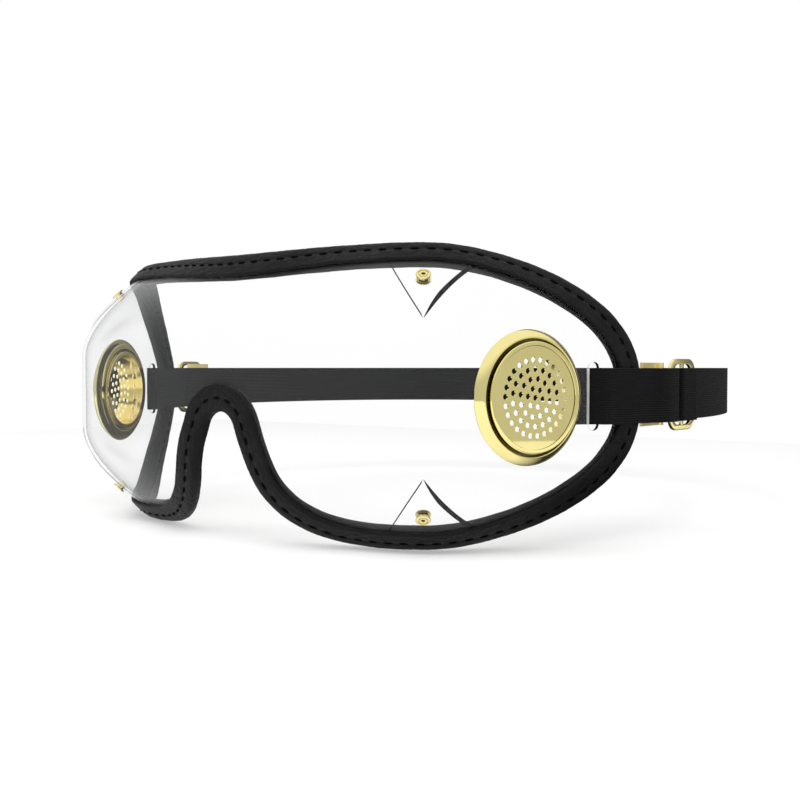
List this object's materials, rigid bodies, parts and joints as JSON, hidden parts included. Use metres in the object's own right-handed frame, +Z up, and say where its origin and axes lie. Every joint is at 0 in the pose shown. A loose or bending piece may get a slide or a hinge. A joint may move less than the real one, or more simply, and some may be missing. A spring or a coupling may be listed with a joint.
{
  "type": "horse racing goggles",
  "caption": "Wrap-round clear racing goggles with a leather-bound rim, perforated brass temple vents, riveted darts and an adjustable elastic head strap.",
  "frame": {"origin": "the middle of the nose arch, on the outside of the clear sheet at the height of the vents' axis, where the goggles rest on the wearer's nose", "axes": "+Y runs back through the wearer's head, +Z is up, +X is the wearer's left"},
  "size_m": [0.2134, 0.2194, 0.0834],
  "materials": {
    "clear_sheet": "clear polished plastic sheet",
    "binding_leather": "black leather, folded and stitched",
    "strap_elastic": "black ribbed woven elastic",
    "brass": "polished pale brass"
  },
  "bodies": {
    "goggles": {"lens": "clear_sheet", "rim_binding": "binding_leather", "vent_ring_right": "brass", "vent_cap_right": "brass", "vent_washer_right": "brass", "vent_ring_left": "brass", "vent_cap_left": "brass", "vent_washer_left": "brass", "dart_rivet_upper_right": "brass", "dart_washer_upper_right": "brass", "dart_rivet_lower_right": "brass", "dart_washer_lower_right": "brass", "dart_rivet_upper_left": "brass", "dart_washer_upper_left": "brass", "dart_rivet_lower_left": "brass", "dart_washer_lower_left": "brass", "strap_loop_right": "strap_elastic", "tail_crimp_right": "brass", "strap_loop_left": "strap_elastic", "tail_crimp_left": "brass", "strap_rear": "strap_elastic"},
    "slide_right": {"strap_slide_right": "brass", "strap_keeper_right": "strap_elastic"},
    "slide_left": {"strap_slide_left": "brass", "strap_keeper_left": "strap_elastic"}
  },
  "joints": [
    {"name": "slide_right_adjust", "type": "slide", "parent": "goggles", "child": "slide_right", "axis": [-0.1564, 0.9877, 0], "range_m": [0, 0.015], "deforming": ["strap_loop_right"]},
    {"name": "slide_left_adjust", "type": "slide", "parent": "goggles", "child": "slide_left", "axis": [0.1564, 0.9877, 0], "range_m": [0, 0.015], "deforming": ["strap_loop_left"]}
  ]
}
